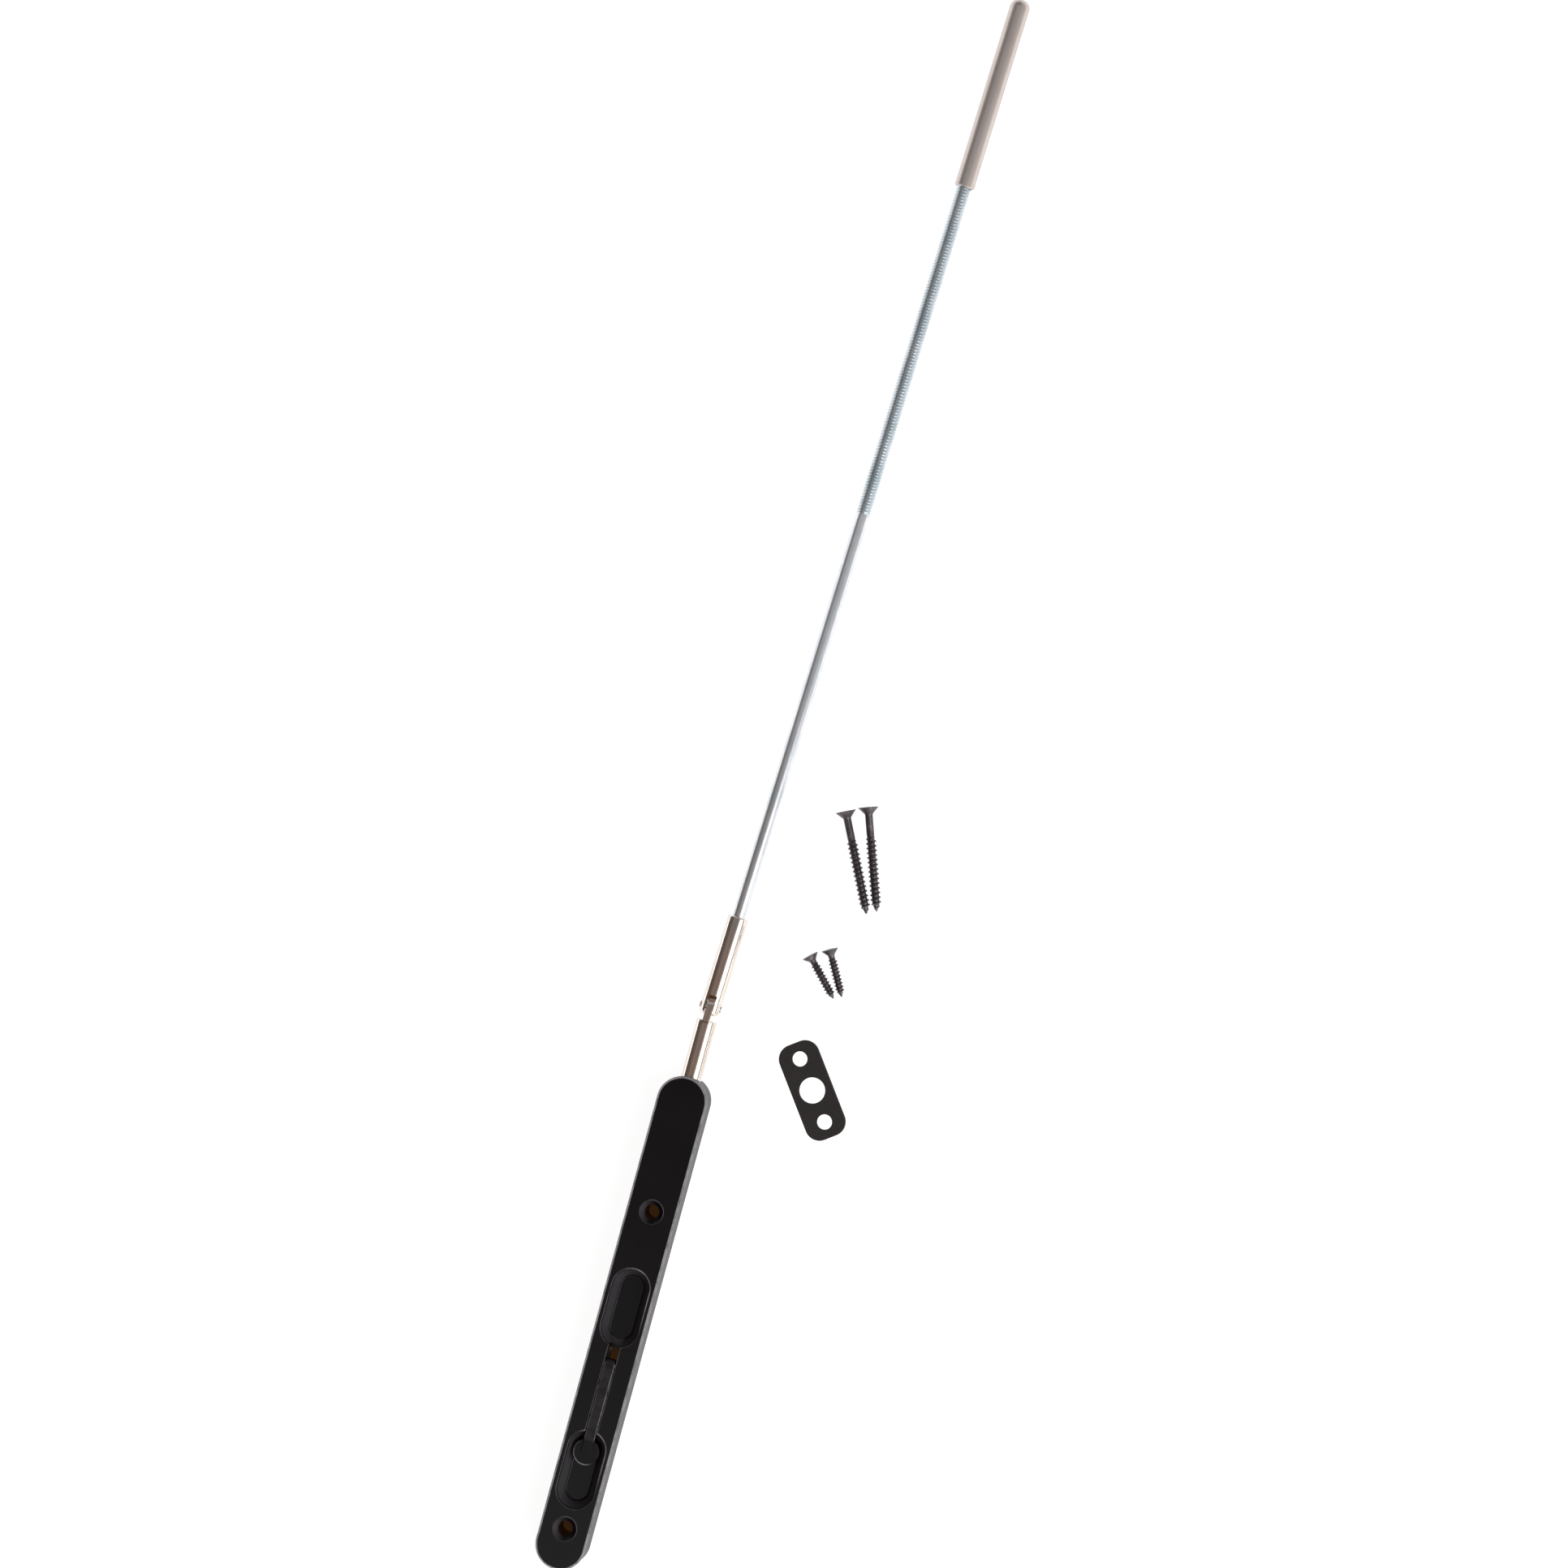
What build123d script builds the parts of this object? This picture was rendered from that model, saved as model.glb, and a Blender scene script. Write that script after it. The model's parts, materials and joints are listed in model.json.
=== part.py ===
from build123d import *
import os
from math import asin, atan, cos, degrees, hypot, pi, radians, sin, sqrt

# Lever-action extension flush bolt, with its strike plate and screws. Millimetres, +Z up.
# The case lies on its back with its face up, and the bolt is thrown.
# Origin: halfway between the two face screw holes, on the back of the case.
# +X runs across the case, +Y along it towards the bolt's tip.

# ---- case ----
case_width = 20.6
face_thickness = 1.5
case_wall = 1.2
lip_height = 2.4
lip_overhang = 0.25
face_bevel = 1.0
face_bevel_drop = 0.8
heel_bevel_length = 6.0
heel_bevel_height = 9.0

# ---- face screws and the holes for them ----
screw_hole_spacing = 132.5
heel_to_screw_hole = 17.0
nose_to_screw_hole = 56.5
screw_hole_radius = 3.1
screw_sink_radius = 4.9
screw_boss_radius = 4.0

# ---- finger recesses, one each side of the lever's pivot ----
heel_to_pivot = 75.5
recess_offset = 33.85
recess_length = 32.3
recess_width = 15.6
recess_depth = 6.4
recess_wall_run = 3.0
recess_floor_radius = 0.6
recess_rim_radius = 0.5

# ---- lever ----
lever_floor_gap = 0.4
lever_width = 4.4
lever_side_gap = 0.3
pad_reach = 26.5
pad_radius = 5.4
pad_thickness = 3.4
lever_edge = 0.35
pivot_pin_radius = 1.6
pivot_boss_wall = 1.4
pivot_boss_width = 1.8
crank_reach = 10.0
crank_pin_radius = 1.2

# ---- forks, slider and strap ----
fork_thickness = 1.5
fork_gap = 0.3
fork_slot_gap = 0.25
fork_metal = 1.9
fork_to_block = 2.1
fork_arm_length = 14.0
fork_foot_gap = 0.4
fork_roof_gap = 0.25
block_length = 11.0
block_web = 2.5
strap_width = 13.0
strap_thickness = 3.0
strap_slot_metal = 3.9
stub_overlap = 10.0
rivet_radius = 0.9
rivet_head_radius = 1.6
rivet_head_height = 0.45
cross_pin_radius = 1.2

# ---- bolt stub and knuckle ----
bolt_radius = 4.25
bolt_floor_gap = 0.2
bolt_roof_gap = 0.4
stub_showing = 23.5
guide_length = 14.75
shoulder_to_pin = 5.8
tongue_width = 2.9
tongue_past_pin = 3.9
tongue_corner_radius = 4.2
knuckle_pin_radius = 1.5
knuckle_pin_proud = 0.35

# ---- coupling sleeve, rod and tip ----
rod_lean = 1.9
sleeve_slot_width = 3.5
cheek_past_pin = 3.45
pin_to_slot_floor = 4.8
sleeve_reach = 38.05
cheek_round = 1.8
sleeve_mouth_bevel = 0.6
rod_radius = 2.75
rod_socket_depth = 18.0
thread_radius = 3.1
pin_to_thread = 208.4
pin_to_tip = 347.8
tip_length = 79.6
tip_radius = 4.05
tip_nose_round = 3.6
tip_mouth_bevel = 0.5
tip_bore_depth = 58.0
thread_in_tip = 25.0

# ---- back cover, its screws and the friction spring ----
cover_thickness = 0.8
cover_margin = 1.5
cover_screw_radius = 1.0
cover_screw_length = 5.0
cover_screw_head_radius = 1.8
cover_screw_inset = 2.6
spring_thickness = 0.5
spring_width = 8.0
spring_run = 11.0
spring_landing = 5.0

# ---- strike plate ----
strike_length = 41.0
strike_width = 17.0
strike_thickness = 2.0
strike_corner_radius = 6.0
strike_bore_radius = 5.3
strike_hole_radius = 3.1
strike_hole_spacing = 27.4
strike_turn = 36.8
strike_place = (48.5, 130.1)

# ---- wood screws: length, head radius, shank radius, thread radius, threaded share of the length ----
face_screw = (42.8, 4.1, 1.6, 2.0, 0.70)
strike_screw = (20.2, 3.4, 1.3, 1.75, 0.85)
screw_point_share = 1.6
screw_rim = 0.3
# Where each screw lies: middle of its head's top, and the way it points, in degrees from -Y towards +X.
face_screw_places = (((31.9, 243.0), 26.6), ((40.3, 247.0), 19.7))
strike_screw_places = (((33.3, 182.7), 43.6), ((40.4, 187.2), 29.0))

# ---- fits ----
turning_fit = 0.05
loose_fit = 0.10
guide_fit = 0.08
seat_fit = 0.02
slide_gap = 0.5

# ---- places worked out from the sizes ----
heel_y = -(screw_hole_spacing / 2 + heel_to_screw_hole)
nose_y = screw_hole_spacing / 2 + nose_to_screw_hole
case_length = nose_y - heel_y
pivot_y = heel_y + heel_to_pivot
bolt_z = cover_thickness + bolt_floor_gap + bolt_radius
recess_wall_z = bolt_z + bolt_radius + bolt_roof_gap
recess_floor_z = recess_wall_z + case_wall
case_depth = recess_floor_z + recess_depth
ceiling_z = case_depth - face_thickness
lever_thickness = recess_depth - lever_floor_gap
lever_slot_width = lever_width + 2 * lever_side_gap
pivot_z = case_depth - lever_thickness / 2
lower_recess_y = pivot_y - recess_offset
upper_recess_y = pivot_y + recess_offset
crank_y = pivot_y + crank_reach
throw = 2 * crank_reach
wall_width = case_width - 2 * lip_overhang
upper_hole_y = screw_hole_spacing / 2

boss_outer_x = lever_slot_width / 2 + pivot_boss_width
fork_inner_x = boss_outer_x + fork_gap
fork_outer_x = fork_inner_x + fork_thickness
fork_floor_z = cover_thickness + fork_foot_gap
fork_top_z = ceiling_z - fork_roof_gap
fork_arm_top_z = recess_wall_z - slide_gap
slot_radius = crank_pin_radius + fork_slot_gap
swing_angle = asin(2 / pi)
swing_lead = crank_reach * (cos(swing_angle) - 1 + 2 * swing_angle / pi)
fork_half = swing_lead + slot_radius + fork_metal
block_y = crank_y + fork_half + fork_to_block
strap_start_y = block_y + block_web
channel_x = strap_width / 2 + slide_gap
well_low_y = crank_y - throw - fork_half - slide_gap
boss_sweep = screw_boss_radius + fork_gap
strap_end_y = upper_hole_y + throw + boss_sweep + strap_slot_metal
stub_start_y = strap_end_y + slide_gap
guide_y = nose_y - guide_length
shoulder_y = nose_y + stub_showing
pin_y = shoulder_y + shoulder_to_pin
strap_low_z = bolt_z - strap_thickness / 2
strap_high_z = bolt_z + strap_thickness / 2
strap_tail_x = sqrt(bolt_radius**2 - (strap_thickness / 2) ** 2) - 0.05


def block(x0, x1, y0, y1, z0, z1):
    return Pos((x0 + x1) / 2, (y0 + y1) / 2, (z0 + z1) / 2) * Box(x1 - x0, y1 - y0, z1 - z0)


def upright(radius, z0, z1, x=0.0, y=0.0):
    return Pos(x, y, (z0 + z1) / 2) * Cylinder(radius, z1 - z0)


def across(radius, half_length, y, z, x=0.0):
    return Pos(x, y, z) * Rot(0, 90, 0) * Cylinder(radius, 2 * half_length)


def along(radius, y0, y1, x=0.0, z=0.0):
    return Pos(x, (y0 + y1) / 2, z) * Rot(90, 0, 0) * Cylinder(radius, y1 - y0)


def pill(length, width, middle_y, z0, z1):
    return extrude(Pos(0, middle_y, z0) * SlotOverall(length, width, rotation=90), z1 - z0)


def side_plate(face, x0, x1):
    """A flat shape drawn in (Y, Z), made solid from x0 to x1."""
    return extrude(Plane.YZ.offset(x0) * face, x1 - x0)


def edges_at(part, z):
    return part.edges().filter_by_position(Axis.Z, z - 0.001, z + 0.001)


def sunk_hole(y):
    """A through hole with a countersink at the face."""
    sink_depth = screw_sink_radius - screw_hole_radius
    sink = Pos(0, y, case_depth - sink_depth / 2) * Cone(screw_hole_radius, screw_sink_radius, sink_depth)
    return upright(screw_hole_radius, -1, case_depth + 1, y=y) + sink


def recess(middle_y):
    """A pill-shaped scoop whose walls lean in to its floor."""
    outline = Pos(0, middle_y, case_depth) * SlotOverall(recess_length, recess_width, rotation=90)
    lean = degrees(atan(recess_wall_run / recess_depth))
    scoop = extrude(outline, recess_depth, dir=(0, 0, -1), taper=lean)
    return fillet(edges_at(scoop, recess_floor_z), recess_floor_radius)


def make_body():
    lip_z = case_depth - lip_height
    middle_y = (heel_y + nose_y) / 2
    lip = pill(case_length, case_width, middle_y, lip_z, case_depth)
    face = lip.faces().sort_by(Axis.Z)[-1]
    lip = chamfer(edges_at(lip, case_depth), face_bevel_drop, face_bevel, reference=face)
    body = lip + pill(case_length - 2 * lip_overhang, wall_width, middle_y, 0, lip_z)
    heel = Polyline((heel_y, 0), (heel_y + heel_bevel_length, 0), (heel_y, heel_bevel_height), close=True)
    body -= side_plate(make_face(heel), -case_width, case_width)
    for y in (lower_recess_y, upper_recess_y):
        body -= recess(y)
        rim = [e for e in edges_at(body, case_depth) if abs(e.center().Y - y) < recess_length / 2 + 0.1]
        body = fillet([e for e in rim if abs(e.center().X) < recess_width / 2 + 0.1], recess_rim_radius)
    # channel for slider, strap and stub, and the well that the forks travel in
    body -= block(-channel_x, channel_x, well_low_y, guide_y, -1, recess_wall_z)
    well_high_y = upper_recess_y - recess_length / 2 - case_wall
    body -= block(-channel_x, channel_x, well_low_y, well_high_y, 0, ceiling_z)
    # lightening pockets, each side of the upper screw's boss and under the lower recess
    spring_low_y = upper_recess_y + recess_length / 2 + case_wall
    boss_low_y = upper_hole_y - screw_boss_radius - case_wall
    boss_high_y = upper_hole_y + screw_boss_radius + case_wall
    body -= block(-channel_x, channel_x, spring_low_y, boss_low_y, 0, ceiling_z)
    body -= block(-channel_x, channel_x, boss_high_y, guide_y, 0, ceiling_z)
    lower_low_y = lower_recess_y - recess_length / 2 + 2 * case_wall
    body -= block(-channel_x, channel_x, lower_low_y, well_low_y - 2 * case_wall, -1, recess_wall_z)
    body += upright(screw_boss_radius, cover_thickness, ceiling_z, y=upper_hole_y)
    # slot for the lever, from recess to recess, and the two bosses that hold its pivot pin
    body -= block(-lever_slot_width / 2, lever_slot_width / 2, lower_recess_y, upper_recess_y,
                  recess_floor_z, case_depth + 1)
    boss_radius = pivot_pin_radius + pivot_boss_wall
    for side in (-1, 1):
        boss_x = side * (lever_slot_width / 2 + pivot_boss_width / 2)
        boss = across(boss_radius, pivot_boss_width / 2, pivot_y, pivot_z, x=boss_x)
        boss += block(boss_x - pivot_boss_width / 2, boss_x + pivot_boss_width / 2,
                      pivot_y - boss_radius, pivot_y + boss_radius, pivot_z, ceiling_z)
        body += boss & block(-channel_x, channel_x, heel_y, nose_y, 0, ceiling_z + 0.2)
    body -= across(pivot_pin_radius + seat_fit, boss_outer_x + 1, pivot_y, pivot_z)
    # guide for the bolt stub, seat for the back cover, holes
    body -= along(bolt_radius + guide_fit, guide_y - 1, nose_y + 1, z=bolt_z)
    body -= cover_outline(turning_fit, 0, cover_thickness)
    for y in (-upper_hole_y, upper_hole_y):
        body -= sunk_hole(y)
    for x, y in cover_screw_places():
        body -= upright(cover_screw_radius + seat_fit, 0, cover_screw_length + 0.3, x, y)
    rivet_y = spring_rivet_y()
    body -= upright(rivet_radius + seat_fit, ceiling_z - 1, ceiling_z + face_thickness / 2, y=rivet_y)
    return body


def cover_outline(extra, z0, z1):
    low = heel_y + heel_bevel_length + cover_margin - extra
    high = nose_y - lip_overhang - cover_margin + extra
    width = wall_width - 2 * cover_margin + 2 * extra
    return pill(high - low, width, (low + high) / 2, z0, z1)


def cover_screw_places():
    low_y = lower_recess_y - recess_length / 2 - cover_screw_inset
    high_y = guide_y + cover_screw_inset
    side_x = wall_width / 2 - cover_margin - cover_screw_head_radius - 0.3
    return [(side * side_x, y) for y in (low_y, high_y) for side in (-1, 1)]


def spring_landing_y():
    return upper_recess_y + recess_length / 2 + case_wall + slide_gap


def spring_rivet_y():
    return spring_landing_y() + spring_landing / 2


def make_cover():
    cover = cover_outline(0, 0, cover_thickness)
    window_high_y = upper_recess_y - recess_length / 2
    window_low_y = well_low_y + lever_slot_width / 2
    window_length = window_high_y - window_low_y
    window_y = (window_high_y + window_low_y) / 2
    cover -= pill(window_length, lever_slot_width, window_y, -1, cover_thickness + 1)
    for y in (-upper_hole_y, upper_hole_y):
        cover -= upright(screw_hole_radius, -1, cover_thickness + 1, y=y)
    for x, y in cover_screw_places():
        sink = Cone(cover_screw_head_radius, cover_screw_radius + seat_fit, cover_thickness)
        cover -= Pos(x, y, cover_thickness / 2) * sink
    return cover


def make_cover_screws():
    screws = []
    for x, y in cover_screw_places():
        head = Pos(x, y, cover_thickness / 2) * Cone(
            cover_screw_head_radius - seat_fit, cover_screw_radius, cover_thickness)
        screws.append(head + upright(cover_screw_radius, cover_thickness / 2, cover_screw_length, x, y))
    return screws


def make_lever():
    half = lever_thickness / 2
    pad_y = pivot_y - pad_reach
    tail_y = crank_y - half / 6
    bar = block(-lever_width / 2, lever_width / 2, pad_y, tail_y, pivot_z - half, case_depth)
    bar += across(half, lever_width / 2, tail_y, pivot_z)
    bar = chamfer(bar.edges().filter_by(Axis.Y), lever_edge)
    pad = upright(pad_radius, pivot_z - pad_thickness / 2, pivot_z + pad_thickness / 2, y=pad_y)
    pad = chamfer(pad.edges(), lever_edge)
    lever = bar + pad
    lever -= across(pivot_pin_radius + turning_fit, lever_width, pivot_y, pivot_z)
    return lever - across(crank_pin_radius + seat_fit, lever_width, crank_y, pivot_z)


def fork_slot_face():
    """Room for the crank pin over half a turn while the fork moves evenly: the pin's path seen from
    the fork, widened by the slot's radius, open at the top."""
    steps = 12
    side = []
    for k in range(steps + 1):
        turn = pi / 2 * k / steps
        lead = crank_reach * (cos(turn) - 1 + 2 * turn / pi)
        drop = crank_reach * sin(turn)
        run_y = crank_reach * (2 / pi - sin(turn))
        run_z = -crank_reach * cos(turn)
        size = hypot(run_y, run_z)
        side.append((lead - run_z / size * slot_radius, pivot_z - drop + run_y / size * slot_radius))
    mouth = side[0][0]
    right = [(crank_y + y, z) for y, z in side]
    left = [(crank_y - y, z) for y, z in reversed(side)]
    outline = [
        Spline(*right),
        Spline(*left),
        Line(left[-1], (crank_y - mouth, case_depth)),
        Line((crank_y - mouth, case_depth), (crank_y + mouth, case_depth)),
        Line((crank_y + mouth, case_depth), right[0]),
    ]
    return make_face(outline)


def make_fork(side):
    head = (crank_y - fork_half, crank_y + fork_half, fork_floor_z, fork_top_z)
    arm_y = block_y + fork_arm_length - fork_to_block
    outline = Polyline(
        (head[0], head[2]), (arm_y, head[2]), (arm_y, fork_arm_top_z), (head[1], fork_arm_top_z),
        (head[1], head[3]), (head[0], head[3]), close=True)
    face = make_face(outline) - fork_slot_face()
    low_x = fork_inner_x if side > 0 else -fork_outer_x
    fork = side_plate(face, low_x, low_x + fork_thickness)
    for z in slider_rivet_heights():
        fork -= across(rivet_radius + seat_fit, fork_outer_x + 1, slider_rivet_y(), z)
    return fork


def slider_rivet_y():
    return block_y + block_length / 2


def slider_rivet_heights():
    return ((fork_floor_z + strap_low_z) / 2, (strap_high_z + fork_arm_top_z) / 2)


def make_slider_block():
    slider = block(-fork_inner_x, fork_inner_x, block_y, block_y + block_length, fork_floor_z, fork_arm_top_z)
    slider -= block(-fork_outer_x, fork_outer_x, strap_start_y, block_y + block_length + 1,
                    strap_low_z, strap_high_z)
    for z in slider_rivet_heights():
        slider -= across(rivet_radius + seat_fit, fork_outer_x, slider_rivet_y(), z)
    return slider - upright(cross_pin_radius + seat_fit, 0, case_depth, y=strap_pin_y())


def strap_pin_y():
    return block_y + block_length - 2 * cross_pin_radius


def make_slider_rivets():
    rivets = []
    for z in slider_rivet_heights():
        rivet = across(rivet_radius, fork_outer_x, slider_rivet_y(), z)
        for side in (-1, 1):
            head_x = side * (fork_outer_x + rivet_head_height / 2)
            rivet += across(rivet_radius * 1.35, rivet_head_height / 2, slider_rivet_y(), z, x=head_x)
        rivets.append(rivet)
    return rivets


def make_strap():
    wide_y = block_y + fork_arm_length
    strap = block(-strap_width / 2, strap_width / 2, wide_y, strap_end_y, strap_low_z, strap_high_z)
    tongue_x = fork_inner_x - loose_fit
    strap += block(-tongue_x, tongue_x, strap_start_y, wide_y, strap_low_z, strap_high_z)
    tail_end_y = stub_start_y + stub_overlap
    strap += block(-strap_tail_x, strap_tail_x, strap_end_y, tail_end_y, strap_low_z, strap_high_z)
    slot_length = throw + 2 * boss_sweep
    slot_y = upper_hole_y + throw / 2
    strap -= pill(slot_length, 2 * boss_sweep, slot_y, 0, case_depth)
    strap -= upright(cross_pin_radius + seat_fit, 0, case_depth, y=strap_pin_y())
    for y in stub_rivet_places():
        strap -= upright(cross_pin_radius + seat_fit, 0, case_depth, y=y)
    return strap


def stub_rivet_places():
    return (stub_start_y + 2.5 * cross_pin_radius, stub_start_y + 6 * cross_pin_radius)


def make_stub():
    stub = along(bolt_radius, stub_start_y, shoulder_y, z=bolt_z)
    stub = chamfer(stub.edges().sort_by(Axis.Y)[-1], 0.3)
    socket_y = stub_start_y + stub_overlap
    stub -= block(-bolt_radius, bolt_radius, stub_start_y - 1, socket_y, strap_low_z, strap_high_z)
    for y in stub_rivet_places():
        stub -= upright(cross_pin_radius + seat_fit, 0, case_depth, y=y)
    end_y = pin_y + tongue_past_pin
    tongue = along(bolt_radius, shoulder_y - 1, end_y, z=bolt_z)
    tongue &= block(-tongue_width / 2, tongue_width / 2, shoulder_y - 1, end_y, 0, case_depth)
    rounded = across(tongue_corner_radius, tongue_width, pin_y, bolt_z)
    rounded += block(-tongue_width, tongue_width, shoulder_y - 2, pin_y, 0, case_depth)
    tongue &= rounded
    return stub + tongue - across(knuckle_pin_radius + loose_fit, tongue_width, pin_y, bolt_z)


def make_stub_rivets():
    half = bolt_radius - 0.25
    return [upright(cross_pin_radius, bolt_z - half, bolt_z + half, y=y) for y in stub_rivet_places()]


def make_spring():
    top_z = ceiling_z - spring_thickness / 2
    landing_y = spring_landing_y()
    low_z = strap_high_z + 0.3 + spring_thickness / 2
    end_y = landing_y + spring_landing + spring_run
    line = FilletPolyline(
        (landing_y, top_z), (landing_y + spring_landing, top_z), (end_y - 3.0, low_z), (end_y, low_z + 1.5),
        radius=1.2)
    strip = trace(line, spring_thickness)
    spring = side_plate(strip, -spring_width / 2, spring_width / 2)
    return spring - upright(rivet_radius + seat_fit, 0, case_depth, y=spring_rivet_y())


def make_spring_rivet():
    head_z = ceiling_z - spring_thickness
    seat_top_z = ceiling_z + face_thickness / 2
    rivet = upright(rivet_radius, head_z - rivet_head_height, seat_top_z, y=spring_rivet_y())
    return rivet + upright(rivet_head_radius, head_z - rivet_head_height, head_z, y=spring_rivet_y())


def from_pin(part):
    """Sets a part that was drawn along +Y from the knuckle pin into its place, at the rod's lean."""
    return Pos(0, pin_y, bolt_z) * Rot(0, 0, -rod_lean) * part


def make_sleeve():
    sleeve = along(bolt_radius, -cheek_past_pin, sleeve_reach)
    ends = sleeve.edges().sort_by(Axis.Y)
    sleeve = fillet(ends[0], cheek_round)
    sleeve = chamfer(sleeve.edges().sort_by(Axis.Y)[-1], sleeve_mouth_bevel)
    half_slot = sleeve_slot_width / 2
    sleeve -= block(-half_slot, half_slot, -cheek_past_pin - 1, pin_to_slot_floor, -bolt_radius, bolt_radius)
    sleeve -= along(rod_radius + seat_fit, sleeve_reach - rod_socket_depth, sleeve_reach + 1)
    return sleeve - across(knuckle_pin_radius + seat_fit, bolt_radius + 1, 0, 0)


def make_knuckle_pin():
    pin = across(knuckle_pin_radius, bolt_radius + knuckle_pin_proud, 0, 0)
    return chamfer(pin.edges(), 0.25)


def make_rod():
    end_y = pin_to_tip + thread_in_tip
    rod = along(rod_radius, sleeve_reach - rod_socket_depth, pin_to_thread)
    thread = chamfer(along(thread_radius, pin_to_thread, end_y).edges(), thread_radius - rod_radius)
    return rod + thread


def make_tip():
    tip = along(tip_radius, pin_to_tip, pin_to_tip + tip_length)
    tip = fillet(tip.edges().sort_by(Axis.Y)[-1], tip_nose_round)
    tip = chamfer(tip.edges().sort_by(Axis.Y)[0], tip_mouth_bevel)
    return tip - along(thread_radius + guide_fit, pin_to_tip - 1, pin_to_tip + tip_bore_depth)


def make_strike():
    plate = extrude(RectangleRounded(strike_width, strike_length, strike_corner_radius), strike_thickness)
    plate = fillet(edges_at(plate, strike_thickness), 0.4)
    plate -= upright(strike_bore_radius, -1, strike_thickness + 1)
    for side in (-1, 1):
        plate -= upright(strike_hole_radius, -1, strike_thickness + 1, y=side * strike_hole_spacing / 2)
    return Pos(*strike_place, 0) * Rot(0, 0, strike_turn) * plate


def make_wood_screw(size, place):
    """A countersunk wood screw lying on its head's rim and its thread."""
    length, head, shank, thread, threaded = size
    (x, y), heading = place
    head_depth = head - shank
    thread_from = length * (1 - threaded)
    point_from = length - thread * screw_point_share
    profile = Polyline(
        (0, 0), (head, 0), (head, -screw_rim), (shank, -screw_rim - head_depth),
        (shank, -thread_from), (thread, -thread_from - 0.4), (thread, -point_from), (0, -length), close=True)
    screw = revolve(make_face(Plane.XZ * profile), Axis.Z)
    lie = degrees(asin((head - thread) / hypot(point_from, head - thread)))
    return Pos(x, y, head * cos(radians(lie))) * Rot(0, 0, heading) * Rot(-90 + lie, 0, 0) * screw


def make_screws(size, places):
    return [make_wood_screw(size, place) for place in places]


pieces = {
    "body_casting": make_body(),
    "back_cover": make_cover(),
    "cover_screws": make_cover_screws(),
    "lever": make_lever(),
    "lever_pivot_pin": across(pivot_pin_radius, boss_outer_x, pivot_y, pivot_z),
    "crank_pin": across(crank_pin_radius, fork_outer_x + 0.1, crank_y, pivot_z),
    "fork_left": make_fork(-1),
    "fork_right": make_fork(1),
    "slider_block": make_slider_block(),
    "slider_rivets": make_slider_rivets(),
    "drive_strap": make_strap(),
    "strap_pin": upright(cross_pin_radius, fork_floor_z, fork_arm_top_z, y=strap_pin_y()),
    "bolt_stub": make_stub(),
    "stub_rivets": make_stub_rivets(),
    "friction_spring": make_spring(),
    "spring_rivet": make_spring_rivet(),
    "knuckle_pin": from_pin(make_knuckle_pin()),
    "coupling_sleeve": from_pin(make_sleeve()),
    "extension_rod": from_pin(make_rod()),
    "bolt_tip": from_pin(make_tip()),
    "strike_plate": make_strike(),
    "face_screws": make_screws(face_screw, face_screw_places),
    "strike_screws": make_screws(strike_screw, strike_screw_places),
}

os.makedirs("parts", exist_ok=True)
for name, piece in pieces.items():
    shape = Compound(children=piece) if isinstance(piece, list) else piece
    export_step(shape, f"parts/{name}.step")
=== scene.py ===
import bpy
import bmesh
import json
from math import cos, hypot, pi, radians, sin
from mathutils import Matrix, Vector


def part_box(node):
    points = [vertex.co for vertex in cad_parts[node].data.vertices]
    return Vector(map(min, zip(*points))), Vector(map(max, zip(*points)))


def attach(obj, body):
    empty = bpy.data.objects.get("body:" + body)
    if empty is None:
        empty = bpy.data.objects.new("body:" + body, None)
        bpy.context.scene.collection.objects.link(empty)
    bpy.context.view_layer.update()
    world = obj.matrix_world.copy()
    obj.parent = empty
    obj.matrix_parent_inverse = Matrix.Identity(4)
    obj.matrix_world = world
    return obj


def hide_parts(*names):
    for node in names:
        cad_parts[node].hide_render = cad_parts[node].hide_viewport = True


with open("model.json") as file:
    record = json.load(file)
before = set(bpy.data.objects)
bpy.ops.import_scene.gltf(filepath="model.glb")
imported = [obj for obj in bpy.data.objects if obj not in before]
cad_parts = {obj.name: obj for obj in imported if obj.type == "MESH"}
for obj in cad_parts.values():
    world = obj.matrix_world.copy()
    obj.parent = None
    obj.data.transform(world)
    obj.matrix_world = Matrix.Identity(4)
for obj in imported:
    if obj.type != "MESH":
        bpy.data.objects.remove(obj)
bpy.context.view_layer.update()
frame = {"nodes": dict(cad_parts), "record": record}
nodes = frame["nodes"]
mm = 0.001
print("frame loaded:", len(nodes), "nodes")


# camera

cameraSetup = {
    "distance": 2.0,
    "lookAt": (0.0051, 0.2470, 0.008),
    "tilt": 6.2,      # towards the case's right side, degrees
    "lean": 15.3,     # how far the bolt leans right of upright, degrees
    "lens": 113.3,
}


def makeCamera(setup):
    tilt, lean = radians(setup["tilt"]), radians(setup["lean"])
    back = Vector((sin(tilt), 0, cos(tilt)))
    across = Vector((cos(tilt), 0, -sin(tilt)))
    along = Vector((0, 1, 0))
    right = across * cos(lean) + along * sin(lean)
    up = along * cos(lean) - across * sin(lean)
    data = bpy.data.cameras.new("camera")
    data.lens = setup["lens"]
    data.sensor_width = 36
    data.clip_end = 50
    camera = bpy.data.objects.new("camera", data)
    bpy.context.scene.collection.objects.link(camera)
    turn = Matrix((right, up, back)).transposed().to_4x4()
    camera.matrix_world = Matrix.Translation(Vector(setup["lookAt"]) + back * setup["distance"]) @ turn
    bpy.context.scene.camera = camera


makeCamera(cameraSetup)


# shader sheets

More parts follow.
